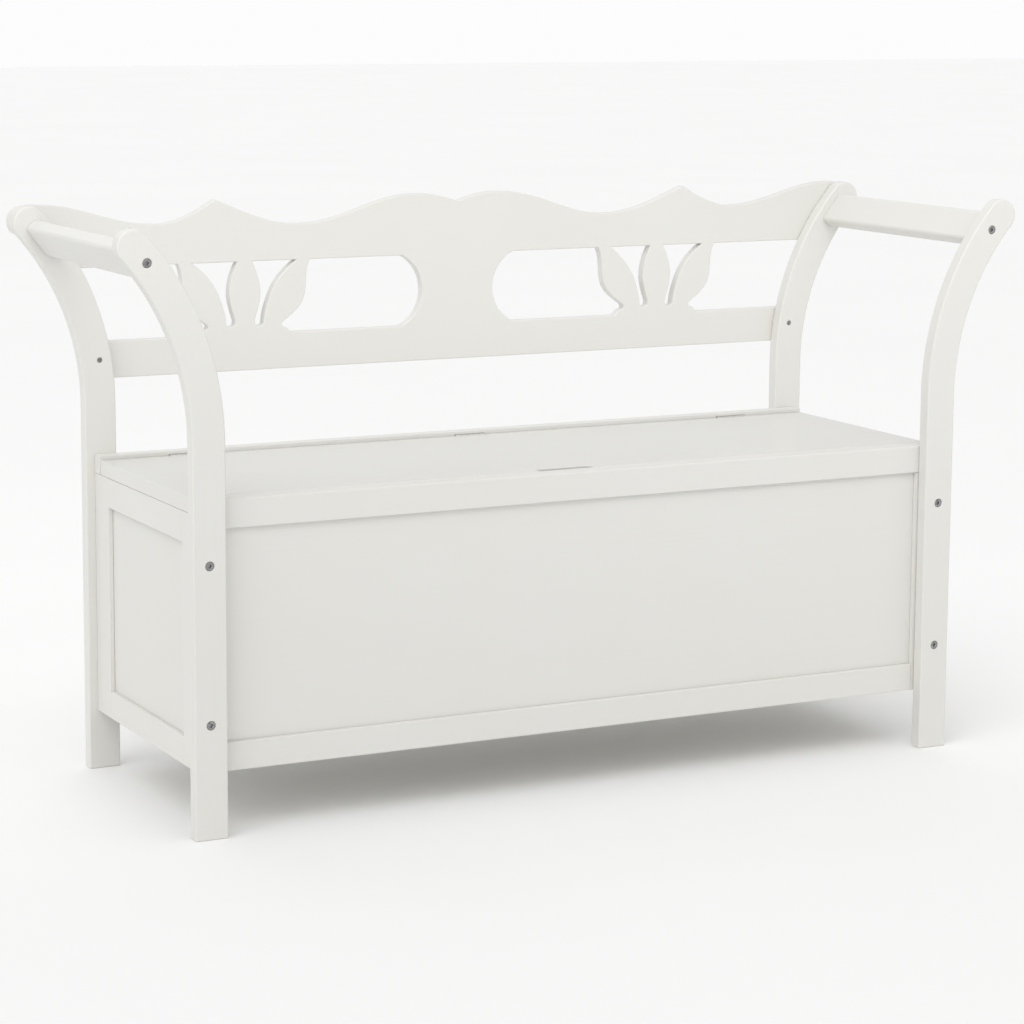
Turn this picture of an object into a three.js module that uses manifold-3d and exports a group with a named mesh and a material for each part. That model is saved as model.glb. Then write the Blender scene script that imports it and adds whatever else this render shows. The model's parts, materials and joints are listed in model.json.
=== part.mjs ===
// Wooden storage bench: two flared front posts, two flared rear posts, a framed box
// with a hinged lid, a carved back panel and two arm rails.
// Millimetres. X runs along the bench, Y from the front (-) to the back (+), Z up.
// The origin is on the floor, at the middle of the bench's footprint.

import * as THREE from "three";
import { mergeVertices } from "three/addons/utils/BufferGeometryUtils.js";
import Module from "manifold-3d";

const wasm = await Module();
wasm.setup();

// ---------------------------------------------------------------- driving dimensions

const CONTACT_GAP = 0.3; // left between two pieces that touch
const CUT_OVERSHOOT = 1; // how far a cut runs past the surface it opens
const HOLE_CLEARANCE = 0.3; // radial room round a fastener

const BENCH_DEPTH = 420; // front posts' face to back panel's rear face
const POST_SPACING = 1060; // between left and right post centrelines
const POST_TOP = 750;
const POST_WIDTH = 43;
const POST_THICKNESS = 19;
const FLARE_RISE = 240; // height over which a post leans outwards
const FLARE_REACH = 92; // how far the top of its centreline leans out

const PANEL_THICKNESS = 15;
const PANEL_HEIGHT = 230.5;
const PANEL_BOTTOM_RAIL = 49;
const PANEL_OPENING_HEIGHT = 97.5;
const PANEL_OPENING_START = 54; // from the middle of the bench to the opening's round end
const PANEL_OPENING_END_SLACK = 4.25; // its round end's radius, over half its height
const PANEL_STRIP_INSET = 7; // panel's outer edge, inside the post's outer edge
const PANEL_STRIP_COVER = 12; // opening's outer edge, outside the post's inner edge
const PANEL_END_INSET = 0.5; // panel's round end, inside the post's
const PANEL_SCREW_RISE = 27; // above the panel's lower edge

const ARM_WIDTH = 48;
const ARM_THICKNESS = 20;
const ARM_EDGE_RADIUS = 5;
const ARM_DROP = 41; // from the top of the post to the arm's centre

const SEAT_TOP = 417.5;
const LID_THICKNESS = 19;
const BOX_INSET = 12.5; // side of the box, inside the post's outer edge
const BOX_BOTTOM = 78.5;
const BATTEN_DEPTH = 20;
const BATTEN_RISE = 5.5; // rear batten stands this far above the lid
const FRONT_RAIL_DEPTH = 27;
const FRONT_RAIL_HEIGHT = 36.5;
const LID_FRONT_GAP = 1;
const LID_REAR_GAP = 2;
const FINGER_NOTCH_LENGTH = 80;
const FINGER_NOTCH_DEPTH = 15;
const FINGER_NOTCH_RADIUS = 7;
const FINGER_NOTCH_OFFSET = -16.5; // its middle, from the lid's middle

const FRAME_THICKNESS = 18;
const SIDE_STILE_WIDTH = 51;
const SIDE_TOP_RAIL = 39;
const BOTTOM_RAIL = 36.5;
const END_STILE_WIDTH = 15.5; // stiles of the front and rear frames
const FIELD_THICKNESS = 6; // thin panel held in the frames' grooves
const GROOVE_DEPTH = 8;
const GROOVE_CLEARANCE = 0.3; // each side of the thin panel

const CLEAT_SIZE = 18;
const FLOOR_THICKNESS = 9;
const FLOOR_GAP = 0.5; // round the box's bottom board

const BOLT_HEAD_RADIUS = 5.5;
const BOLT_HEAD_LENGTH = 5;
const BOLT_SHANK_RADIUS = 3;
const BOLT_SOCKET_RADIUS = 2.6; // across the hexagon's corners, halved
const BOLT_SOCKET_DEPTH = 3;
const BOLT_HEAD_RECESS = 1.2; // below the wood's surface
const ARM_BOLT_GRIP = 38; // length in the arm
const BOX_BOLT_END_WOOD = 5; // solid wood between a box bolt's tip and the stile's groove
const BOX_BOLT_RISE = 64.5; // lower bolts, above the box's lower edge
const BOX_BOLT_DROP = 58.2; // upper bolts, below the box's upper edge

const SCREW_HEAD_RADIUS = 3.2;
const SCREW_HEAD_LENGTH = 3;
const SCREW_SHANK_RADIUS = 1.8;
const SCREW_SOCKET_RADIUS = 1.5;
const SCREW_SOCKET_DEPTH = 1.8;
const SCREW_HEAD_RECESS = 0.6;
const SCREW_GRIP = 10;

const HINGE_LENGTH = 46;
const HINGE_SPACING = 420; // along the lid
const KNUCKLE_COUNT = 5;
const LEAF_THICKNESS = 1.2;
const LEAF_HEIGHT = 15;
const LEAF_SPACING = 0.4; // between the two leaves
const KNUCKLE_RADIUS = 2;
const KNUCKLE_GAP = 0.3; // between knuckles along the pin
const KNUCKLE_CLEARANCE = 0.5; // wood round the knuckle
const PIN_RADIUS = 1.1;
const PIN_CLEARANCE = 0.05;
const HINGE_AXIS_DROP = 0.4; // below the lid's top

const ARC_STEPS = 18;
const LEAF_STEPS = 10; // along one edge of a carved leaf
const EDGE_STEPS = 5; // along an arm's eased edge
const ROUND_SIDES = 16;
const HEX_SIDES = 6;

// ---------------------------------------------------------------- worked-out places

const frontY = -BENCH_DEPTH / 2;
const backY = BENCH_DEPTH / 2;
const postHalf = POST_WIDTH / 2;
const postX = POST_SPACING / 2;
const frontPostBack = frontY + POST_THICKNESS;
const panelFront = backY - PANEL_THICKNESS;
const rearPostBack = panelFront - CONTACT_GAP;
const rearPostFront = rearPostBack - POST_THICKNESS;

const flareStart = POST_TOP - postHalf - FLARE_RISE;
const flareRadius = (FLARE_RISE ** 2 + FLARE_REACH ** 2) / (2 * FLARE_REACH);
const knobX = postX + FLARE_REACH;
const knobZ = POST_TOP - postHalf;
const flareCentreX = postX + flareRadius;
const flareEndAngle = Math.asin(FLARE_RISE / flareRadius);

const boxHalf = postX + postHalf - BOX_INSET;
const boxInnerHalf = boxHalf - FRAME_THICKNESS;
const sideCentreX = boxHalf - FRAME_THICKNESS / 2;
const boxFront = frontPostBack + CONTACT_GAP;
const boxBack = rearPostFront - CONTACT_GAP;
const lidBottom = SEAT_TOP - LID_THICKNESS;
const boxTop = lidBottom - CONTACT_GAP;
const endFrameHalf = boxInnerHalf - CONTACT_GAP;
const frontRailBottom = SEAT_TOP - FRONT_RAIL_HEIGHT;
const lidFront = boxFront + FRONT_RAIL_DEPTH + LID_FRONT_GAP;
const battenFront = boxBack - BATTEN_DEPTH;
const lidBack = battenFront - LID_REAR_GAP;
const hingeY = (lidBack + battenFront) / 2;
const hingeZ = SEAT_TOP - HINGE_AXIS_DROP;

const panelBottom = POST_TOP - PANEL_HEIGHT;
const openingBottom = panelBottom + PANEL_BOTTOM_RAIL;
const openingTop = openingBottom + PANEL_OPENING_HEIGHT;
const armZ = POST_TOP - ARM_DROP;
const armX = flareX(armZ, 0);
const panelScrewZ = panelBottom + PANEL_SCREW_RISE;
const boxBoltLowZ = BOX_BOTTOM + BOX_BOLT_RISE;
const boxBoltHighZ = boxTop - BOX_BOLT_DROP;
const boxBoltGrip = SIDE_STILE_WIDTH - GROOVE_DEPTH - BOX_BOLT_END_WOOD;

// X of a post's edge at height z, offset from its centreline (outwards is positive).
function flareX(z, offset) {
  const rise = Math.max(0, z - flareStart);
  return flareCentreX - Math.sqrt((flareRadius - offset) ** 2 - rise ** 2);
}

// ---------------------------------------------------------------- materials

const painted = (color, roughness) => new THREE.MeshStandardMaterial({ color, roughness, metalness: 0 });
const steel = (color, roughness) => new THREE.MeshStandardMaterial({ color, roughness, metalness: 1 });

const whitePaint = painted(0xebebe6, 0.45);
const lidPaint = painted(0xe4e3dd, 0.25);
const innerPaint = painted(0xe6e5df, 0.55);
const boltSteel = steel(0x8a8c8f, 0.4);
const hingeSteel = steel(0x6f6d69, 0.45);

// ---------------------------------------------------------------- solid helpers

const bench = new THREE.Group();
bench.name = "storage_bench";

function toSolid(geometry) {
  const bare = geometry.index ? geometry.toNonIndexed() : geometry.clone();
  bare.deleteAttribute("normal");
  bare.deleteAttribute("uv");
  const merged = mergeVertices(bare, 1e-4);
  return new wasm.Manifold(new wasm.Mesh({
    numProp: 3,
    vertProperties: new Float32Array(merged.attributes.position.array),
    triVerts: new Uint32Array(merged.index.array),
  }));
}

function toGeometry(solid) {
  const mesh = solid.getMesh();
  const geometry = new THREE.BufferGeometry();
  const positions = new Float32Array(mesh.vertProperties);
  geometry.setAttribute("position", new THREE.BufferAttribute(positions, 3));
  geometry.setIndex(new THREE.BufferAttribute(new Uint32Array(mesh.triVerts), 1));
  return geometry;
}

function cut(geometry, tools) {
  let solid = toSolid(geometry);
  for (const tool of tools) solid = solid.subtract(toSolid(tool));
  return toGeometry(solid);
}

function join(geometries) {
  return toGeometry(geometries.map(toSolid).reduce((all, next) => all.add(next)));
}

// Adds a node. Its geometry is drawn in the bench's frame and hung from its own anchor.
function addPiece(name, geometry, material, anchor) {
  geometry.translate(-anchor.x, -anchor.y, -anchor.z);
  const mesh = new THREE.Mesh(geometry, material);
  mesh.name = name;
  mesh.position.copy(anchor);
  bench.add(mesh);
}

function extrude(shape, depth, curveSegments = ARC_STEPS) {
  return new THREE.ExtrudeGeometry(shape, { depth, bevelEnabled: false, curveSegments });
}

// An outline drawn in X and Z, made solid between two values of Y.
function alongY(shape, y0, y1) {
  return extrude(shape, y1 - y0).rotateX(Math.PI / 2).translate(0, y1, 0);
}

// An outline drawn in Y and Z, made solid between two values of X.
function alongX(shape, x0, x1) {
  const turn = new THREE.Matrix4().makeBasis(
    new THREE.Vector3(0, 1, 0),
    new THREE.Vector3(0, 0, 1),
    new THREE.Vector3(1, 0, 0),
  );
  return extrude(shape, x1 - x0).applyMatrix4(turn).translate(x0, 0, 0);
}

// An outline drawn in X and Y, made solid between two heights.
function alongZ(shape, z0, z1) {
  return extrude(shape, z1 - z0).translate(0, 0, z0);
}

function block(x0, x1, y0, y1, z0, z1) {
  const geometry = new THREE.BoxGeometry(x1 - x0, y1 - y0, z1 - z0);
  return geometry.translate((x0 + x1) / 2, (y0 + y1) / 2, (z0 + z1) / 2);
}

// A round rod that lies along X, with its middle at the given place.
function rodAlongX(radius, length, x, y, z) {
  const geometry = new THREE.CylinderGeometry(radius, radius, length, ROUND_SIDES);
  return geometry.rotateZ(Math.PI / 2).translate(x, y, z);
}

function outline(points) {
  return new THREE.Shape(points.map(([x, y]) => new THREE.Vector2(x, y)));
}

// A frame member's section: a rectangle with a groove in the edge at far,
// centred in its thickness. It runs from near to far, and from low to high across.
function groovedSection(near, far, low, high) {
  const inwards = Math.sign(near - far);
  const middle = (low + high) / 2;
  const half = FIELD_THICKNESS / 2 + GROOVE_CLEARANCE;
  const bed = far + inwards * GROOVE_DEPTH;
  return [
    [near, low], [far, low], [far, middle - half], [bed, middle - half],
    [bed, middle + half], [far, middle + half], [far, high], [near, high],
  ];
}

const swap = (points) => points.map(([a, b]) => [b, a]);

// ---------------------------------------------------------------- fasteners

const bolt = {
  headRadius: BOLT_HEAD_RADIUS, headLength: BOLT_HEAD_LENGTH, shankRadius: BOLT_SHANK_RADIUS,
  socketRadius: BOLT_SOCKET_RADIUS, socketDepth: BOLT_SOCKET_DEPTH, recess: BOLT_HEAD_RECESS,
};
const screw = {
  headRadius: SCREW_HEAD_RADIUS, headLength: SCREW_HEAD_LENGTH, shankRadius: SCREW_SHANK_RADIUS,
  socketRadius: SCREW_SOCKET_RADIUS, socketDepth: SCREW_SOCKET_DEPTH, recess: SCREW_HEAD_RECESS,
};

// A stepped round body whose mouth is at the origin and which runs along +Y.
function steppedRod(headRadius, headStart, headEnd, shankRadius, tip) {
  const profile = [
    new THREE.Vector2(0, headStart), new THREE.Vector2(headRadius, headStart),
    new THREE.Vector2(headRadius, headEnd), new THREE.Vector2(shankRadius, headEnd),
    new THREE.Vector2(shankRadius, tip), new THREE.Vector2(0, tip),
  ];
  return new THREE.LatheGeometry(profile, ROUND_SIDES);
}

// A hex-socket fastener: head just under the surface, shank to the given length.
function fastener(kind, length) {
  const headEnd = kind.recess + kind.headLength;
  const body = steppedRod(kind.headRadius, kind.recess, headEnd, kind.shankRadius, length);
  const { socketRadius, socketDepth } = kind;
  const socket = new THREE.CylinderGeometry(socketRadius, socketRadius, 2 * socketDepth, HEX_SIDES);
  return cut(body, [socket.translate(0, kind.recess, 0)]);
}

// The hole that the fastener needs, open past the surface.
function fastenerHole(kind, length) {
  const headEnd = kind.recess + kind.headLength + HOLE_CLEARANCE;
  return steppedRod(
    kind.headRadius + HOLE_CLEARANCE, -CUT_OVERSHOOT, headEnd,
    kind.shankRadius + HOLE_CLEARANCE, length + HOLE_CLEARANCE,
  );
}

// Every bolt and screw: where its mouth is, which way it runs (1 is +Y) and its length.
const fasteners = [];
const addFastener = (name, kind, x, y, z, way, length) => {
  fasteners.push({ name, kind, x, y, z, way, length });
};

for (const side of [-1, 1]) {
  const hand = side < 0 ? "left" : "right";
  const boxBoltLength = POST_THICKNESS + CONTACT_GAP + boxBoltGrip;
  for (const [level, z] of [["lower", boxBoltLowZ], ["upper", boxBoltHighZ]]) {
    const x = side * sideCentreX;
    addFastener(`front_${hand}_box_bolt_${level}`, bolt, x, frontY, z, 1, boxBoltLength);
    addFastener(`rear_${hand}_box_bolt_${level}`, bolt, x, rearPostBack, z, -1, boxBoltLength);
  }
  const frontArmLength = POST_THICKNESS + CONTACT_GAP + ARM_BOLT_GRIP;
  const rearArmLength = PANEL_THICKNESS + CONTACT_GAP + frontArmLength;
  addFastener(`front_${hand}_arm_bolt`, bolt, side * armX, frontY, armZ, 1, frontArmLength);
  addFastener(`rear_${hand}_arm_bolt`, bolt, side * armX, backY, armZ, -1, rearArmLength);
  const screwLength = POST_THICKNESS + CONTACT_GAP + SCREW_GRIP;
  addFastener(`rear_${hand}_panel_screw`, screw, side * postX, rearPostFront, panelScrewZ, 1, screwLength);
}

function placed(geometry, { x, y, z, way }) {
  if (way < 0) geometry.rotateZ(Math.PI);
  return geometry.translate(x, y, z);
}

// Holes of all the fasteners that pass through a box of space.
function holesIn(x0, x1, y0, y1, z0, z1) {
  const inside = fasteners.filter(({ x, y, z, way, length }) => {
    const low = Math.min(y, y + way * length);
    const high = Math.max(y, y + way * length);
    return x > x0 && x < x1 && z > z0 && z < z1 && high > y0 && low < y1;
  });
  return inside.map((item) => placed(fastenerHole(item.kind, item.length), item));
}

for (const item of fasteners) {
  const anchor = new THREE.Vector3(item.x, item.y, item.z);
  addPiece(item.name, placed(fastener(item.kind, item.length), item), boltSteel, anchor);
}

// ---------------------------------------------------------------- posts

// Straight below, an arc above, and a full round end, all of one width.
function postOutline(side) {
  const points = [];
  const arc = (offset, from, to) => {
    for (let i = 0; i <= ARC_STEPS; i += 1) {
      const angle = from + ((to - from) * i) / ARC_STEPS;
      const radius = flareRadius - offset;
      points.push([flareCentreX - radius * Math.cos(angle), flareStart + radius * Math.sin(angle)]);
    }
  };
  points.push([postX + postHalf, 0]);
  arc(postHalf, 0, flareEndAngle);
  for (let i = 1; i < ARC_STEPS; i += 1) {
    const angle = -flareEndAngle + (Math.PI * i) / ARC_STEPS;
    points.push([knobX + postHalf * Math.cos(angle), knobZ + postHalf * Math.sin(angle)]);
  }
  arc(-postHalf, flareEndAngle, 0);
  points.push([postX - postHalf, 0]);
  return outline(points.map(([x, z]) => [side * x, z]));
}

function addPost(name, side, y0) {
  const y1 = y0 + POST_THICKNESS;
  const inner = postX - postHalf;
  const outer = knobX + postHalf;
  const span = side > 0 ? [inner, outer] : [-outer, -inner];
  const holes = holesIn(...span, y0, y1, 0, POST_TOP);
  const anchor = new THREE.Vector3(side * postX, y0 + POST_THICKNESS / 2, 0);
  addPiece(name, cut(alongY(postOutline(side), y0, y1), holes), whitePaint, anchor);
}

addPost("front_left_post", -1, frontY);
addPost("front_right_post", 1, frontY);
addPost("rear_left_post", -1, rearPostFront);
addPost("rear_right_post", 1, rearPostFront);

// ---------------------------------------------------------------- arm rails

// A board with eased edges, leaning as the posts do where it meets them.
function addArm(name, side) {
  const lean = Math.asin((armZ - flareStart) / flareRadius);
  const halfWidth = ARM_WIDTH / 2;
  const halfThick = ARM_THICKNESS / 2;
  const r = ARM_EDGE_RADIUS;
  const section = new THREE.Shape();
  section.moveTo(-halfThick + r, -halfWidth);
  section.lineTo(halfThick - r, -halfWidth);
  section.absarc(halfThick - r, -halfWidth + r, r, -Math.PI / 2, 0, false);
  section.absarc(halfThick - r, halfWidth - r, r, 0, Math.PI / 2, false);
  section.absarc(-halfThick + r, halfWidth - r, r, Math.PI / 2, Math.PI, false);
  section.absarc(-halfThick + r, -halfWidth + r, r, Math.PI, 1.5 * Math.PI, false);
  const board = extrude(section, rearPostFront - frontPostBack - 2 * CONTACT_GAP, EDGE_STEPS);
  const x = side * armX;
  board.rotateX(Math.PI / 2).rotateY(side * lean);
  board.translate(x, rearPostFront - CONTACT_GAP, armZ);
  const holes = holesIn(
    x - halfWidth, x + halfWidth, frontPostBack, rearPostFront, armZ - halfWidth, armZ + halfWidth,
  );
  const anchor = new THREE.Vector3(x, 0, armZ);
  addPiece(name, cut(board, holes), whitePaint, anchor);
}

addArm("left_arm_rail", -1);
addArm("right_arm_rail", 1);

// ---------------------------------------------------------------- carved back panel

// The wavy top edge from the middle cusp out to the end: places along the half length
// (0 in the middle, 1 at the post's round end) and drops below the top.
const WAVE = {
  cusp: { at: 0, drop: 11.5 },
  innerCrest: { at: 0.103, drop: 0 },
  innerValley: { at: 0.376, drop: 35.5 },
  peak: { at: 0.578, drop: 0 },
  outerValley: { at: 0.707, drop: 30.3 },
  outerCrest: { at: 0.975, drop: 0 },
};
// How the edge leaves or reaches each of them: along, a share of the stretch to the next
// one, and fall, the height lost on the way. A level one has no fall.
const LEVEL = { along: 0.38, fall: 0 };
const LEAVE_CUSP = { along: 0.35, fall: -7 };
const REACH_INNER_CREST = { along: 0.4, fall: 0 };
const LEAVE_INNER_VALLEY = { along: 0.4, fall: 0 };
const REACH_PEAK = { along: 0.31, fall: 15 };
const LEAVE_PEAK = { along: 0.23, fall: 12 };
const REACH_OUTER_VALLEY = { along: 0.37, fall: 0 };
const END_TURN = Math.PI / 3; // where the top edge runs into the round end
const LEAF_CENTRE = 0.51; // middle of the leaf group along the half length

const waveX = ({ at }) => at * knobX;
const waveZ = ({ drop }) => POST_TOP - drop;

function waveTo(path, from, leave, reach, to) {
  const stretch = waveX(to) - waveX(from);
  path.bezierCurveTo(
    waveX(from) + leave.along * stretch, waveZ(from) - leave.fall,
    waveX(to) - reach.along * stretch, waveZ(to) - reach.fall,
    waveX(to), waveZ(to),
  );
}

// Right half of the panel's outline, from the middle of its top edge, clockwise.
function panelHalf() {
  const path = new THREE.Path();
  const { cusp, innerCrest, innerValley, peak, outerValley, outerCrest } = WAVE;
  path.moveTo(waveX(cusp), waveZ(cusp));
  waveTo(path, cusp, LEAVE_CUSP, REACH_INNER_CREST, innerCrest);
  waveTo(path, innerCrest, LEVEL, LEVEL, innerValley);
  waveTo(path, innerValley, LEAVE_INNER_VALLEY, REACH_PEAK, peak);
  waveTo(path, peak, LEAVE_PEAK, REACH_OUTER_VALLEY, outerValley);
  waveTo(path, outerValley, LEVEL, LEVEL, outerCrest);
  const endRadius = postHalf - PANEL_END_INSET;
  path.quadraticCurveTo(
    knobX, POST_TOP,
    knobX + endRadius * Math.cos(END_TURN), knobZ + endRadius * Math.sin(END_TURN),
  );
  path.absarc(knobX, knobZ, endRadius, END_TURN, -flareEndAngle, true);
  const offset = postHalf - PANEL_STRIP_INSET;
  const endTop = knobZ - postHalf;
  for (let i = 0; i <= ARC_STEPS; i += 1) {
    const z = endTop + ((panelBottom - endTop) * i) / ARC_STEPS;
    path.lineTo(flareX(z, offset), z);
  }
  return path.getPoints(ARC_STEPS / 2);
}

// Half of the leaf group's outline, as [across from its centre line, up from the
// opening's lower edge]: the middle leaf, the outer leaf's two edges and the base.
const MIDDLE_LEAF = [[10.5, 97.5], [17.3, 82], [21.6, 66], [22.3, 50], [19, 34], [14, 18]];
const OUTER_LEAF_INNER = [
  [75, 97.5], [63, 88], [50.5, 75], [41, 61], [34, 44.5], [29, 28.5], [27, 15.5],
];
const OUTER_LEAF_OUTER = [
  [95, 97.5], [90.5, 86], [89, 70], [88, 56], [85, 44], [78, 33], [66, 22.5], [54, 14],
];
const BASE_EDGE = [[53, 9.5], [60.5, 6.5], [67, 0]];
const GAP_FOOT = [[14.5, 13], [17, 10.5], [24, 10.5], [26.5, 12.5]];

function smooth(points) {
  const curve = new THREE.SplineCurve(points.map(([x, y]) => new THREE.Vector2(x, y)));
  return curve.getPoints(LEAF_STEPS).map(({ x, y }) => [x, y]);
}

// The four cuts of one opening: inside the leaves, two slits between them, outside.
function openingHoles(side) {
  const leafX = LEAF_CENTRE * knobX;
  const leafScale = PANEL_OPENING_HEIGHT / MIDDLE_LEAF[0][1];
  const toPanel = (points, hand) => (
    points.map(([u, h]) => [leafX + hand * u, openingBottom + h * leafScale])
  );
  const inner = smooth(OUTER_LEAF_INNER);
  const outer = smooth(OUTER_LEAF_OUTER);
  const slit = [...smooth(MIDDLE_LEAF), ...GAP_FOOT, ...inner.reverse()];
  const towardsMiddle = [...toPanel(outer, -1), ...toPanel(BASE_EDGE, -1)];
  const endRadius = PANEL_OPENING_HEIGHT / 2 + PANEL_OPENING_END_SLACK;
  const chord = Math.asin(PANEL_OPENING_HEIGHT / 2 / endRadius);
  const endX = PANEL_OPENING_START + endRadius;
  const endZ = (openingBottom + openingTop) / 2;
  for (let i = 0; i <= ARC_STEPS; i += 1) {
    const angle = Math.PI + chord - (2 * chord * i) / ARC_STEPS;
    towardsMiddle.push([endX + endRadius * Math.cos(angle), endZ + endRadius * Math.sin(angle)]);
  }
  const towardsPost = [...toPanel(outer, 1), ...toPanel(BASE_EDGE, 1)];
  const offset = PANEL_STRIP_COVER - postHalf;
  for (let i = 0; i <= ARC_STEPS; i += 1) {
    const z = openingBottom + (PANEL_OPENING_HEIGHT * i) / ARC_STEPS;
    towardsPost.push([flareX(z, offset), z]);
  }
  const holes = [towardsMiddle, toPanel(slit, -1), toPanel(slit, 1), towardsPost];
  return holes.map((points) => outline(points.map(([x, z]) => [side * x, z])));
}

function addBackPanel() {
  const half = panelHalf();
  const right = half.map(({ x, y }) => [x, y]);
  const left = half.slice(1).reverse().map(({ x, y }) => [-x, y]);
  const board = alongY(outline([...right, ...left]), panelFront, backY);
  const reach = knobX + postHalf;
  const holes = holesIn(-reach, reach, panelFront, backY, panelBottom, POST_TOP);
  for (const opening of [...openingHoles(-1), ...openingHoles(1)]) {
    holes.push(alongY(opening, panelFront - CUT_OVERSHOOT, backY + CUT_OVERSHOOT));
  }
  const anchor = new THREE.Vector3(0, panelFront + PANEL_THICKNESS / 2, panelBottom);
  addPiece("carved_back_panel", cut(board, holes), whitePaint, anchor);
}

addBackPanel();

// ---------------------------------------------------------------- side frames

// Two stiles, two rails between them and a thin panel in their grooves.
function addSide(hand, side) {
  const x0 = side > 0 ? boxInnerHalf : -boxHalf;
  const x1 = x0 + FRAME_THICKNESS;
  const frontEdge = boxFront + SIDE_STILE_WIDTH;
  const backEdge = boxBack - SIDE_STILE_WIDTH;
  const anchorAt = (y, z) => new THREE.Vector3(side * sideCentreX, y, z);

  const stiles = [["front", boxFront, frontEdge], ["rear", boxBack, backEdge]];
  for (const [end, near, far] of stiles) {
    const section = outline(swap(groovedSection(near, far, x0, x1)));
    const holes = holesIn(x0, x1, Math.min(near, far), Math.max(near, far), BOX_BOTTOM, boxTop);
    const stile = cut(alongZ(section, BOX_BOTTOM, boxTop), holes);
    addPiece(`${hand}_side_${end}_stile`, stile, whitePaint, anchorAt((near + far) / 2, BOX_BOTTOM));
  }

  const y0 = frontEdge + CONTACT_GAP;
  const y1 = backEdge - CONTACT_GAP;
  const topRailBottom = boxTop - SIDE_TOP_RAIL;
  const bottomRailTop = BOX_BOTTOM + BOTTOM_RAIL;
  for (const [level, near, far] of [["top", boxTop, topRailBottom], ["bottom", BOX_BOTTOM, bottomRailTop]]) {
    const rail = alongY(outline(swap(groovedSection(near, far, x0, x1))), y0, y1);
    addPiece(`${hand}_side_${level}_rail`, rail, whitePaint, anchorAt((y0 + y1) / 2, near));
  }

  const tuck = GROOVE_DEPTH - GROOVE_CLEARANCE;
  const middle = (x0 + x1) / 2;
  const field = block(
    middle - FIELD_THICKNESS / 2, middle + FIELD_THICKNESS / 2,
    frontEdge - tuck, backEdge + tuck,
    bottomRailTop - tuck, topRailBottom + tuck,
  );
  addPiece(`${hand}_side_panel`, field, whitePaint, anchorAt((y0 + y1) / 2, BOX_BOTTOM));
}

addSide("left", -1);
addSide("right", 1);

// ---------------------------------------------------------------- front and rear frames

// Stiles, bottom rail and thin panel between the sides. The top member is added apart.
function addEndFrame(end, y0, topBottom, topMember) {
  const y1 = y0 + FRAME_THICKNESS;
  const middleY = (y0 + y1) / 2;
  const stileTop = topBottom - CONTACT_GAP;
  const stileInner = endFrameHalf - END_STILE_WIDTH;
  for (const side of [-1, 1]) {
    const hand = side < 0 ? "left" : "right";
    const section = outline(groovedSection(side * endFrameHalf, side * stileInner, y0, y1));
    const anchor = new THREE.Vector3(side * endFrameHalf, middleY, BOX_BOTTOM);
    addPiece(`${end}_${hand}_stile`, alongZ(section, BOX_BOTTOM, stileTop), whitePaint, anchor);
  }
  const railHalf = stileInner - CONTACT_GAP;
  const railSection = outline(swap(groovedSection(BOX_BOTTOM, BOX_BOTTOM + BOTTOM_RAIL, y0, y1)));
  const rail = alongX(railSection, -railHalf, railHalf);
  addPiece(`${end}_bottom_rail`, rail, whitePaint, new THREE.Vector3(0, middleY, BOX_BOTTOM));

  const tuck = GROOVE_DEPTH - GROOVE_CLEARANCE;
  const field = block(
    -stileInner - tuck, stileInner + tuck,
    middleY - FIELD_THICKNESS / 2, middleY + FIELD_THICKNESS / 2,
    BOX_BOTTOM + BOTTOM_RAIL - tuck, topBottom + tuck,
  );
  addPiece(`${end}_panel`, field, whitePaint, new THREE.Vector3(0, middleY, BOX_BOTTOM));
  addPiece(`${end}_top_rail`, topMember, whitePaint, new THREE.Vector3(0, middleY, topBottom));
}

// A groove for the thin panel in the underside of a rail.
function topGroove(y0, railBottom) {
  const middleY = y0 + FRAME_THICKNESS / 2;
  const half = FIELD_THICKNESS / 2 + GROOVE_CLEARANCE;
  return block(
    -boxHalf - CUT_OVERSHOOT, boxHalf + CUT_OVERSHOOT,
    middleY - half, middleY + half,
    railBottom - CUT_OVERSHOOT, railBottom + GROOVE_DEPTH,
  );
}

// The front rail fills the space between the sides and laps over them at lid level.
function frontTopRail() {
  const lap = lidBottom;
  const rearY = boxFront + FRONT_RAIL_DEPTH;
  const shape = outline([
    [-endFrameHalf, frontRailBottom], [endFrameHalf, frontRailBottom], [endFrameHalf, lap],
    [boxHalf, lap], [boxHalf, SEAT_TOP], [-boxHalf, SEAT_TOP], [-boxHalf, lap], [-endFrameHalf, lap],
  ]);
  return cut(alongY(shape, boxFront, rearY), [topGroove(boxFront, frontRailBottom)]);
}

const rearFrameFront = boxBack - FRAME_THICKNESS;
const rearRailBottom = boxTop - SIDE_TOP_RAIL;
const rearTopRail = cut(
  block(-endFrameHalf, endFrameHalf, rearFrameFront, boxBack, rearRailBottom, boxTop),
  [topGroove(rearFrameFront, rearRailBottom)],
);

addEndFrame("front", boxFront, frontRailBottom, frontTopRail());
addEndFrame("rear", rearFrameFront, rearRailBottom, rearTopRail);

// ---------------------------------------------------------------- bottom of the box

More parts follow.
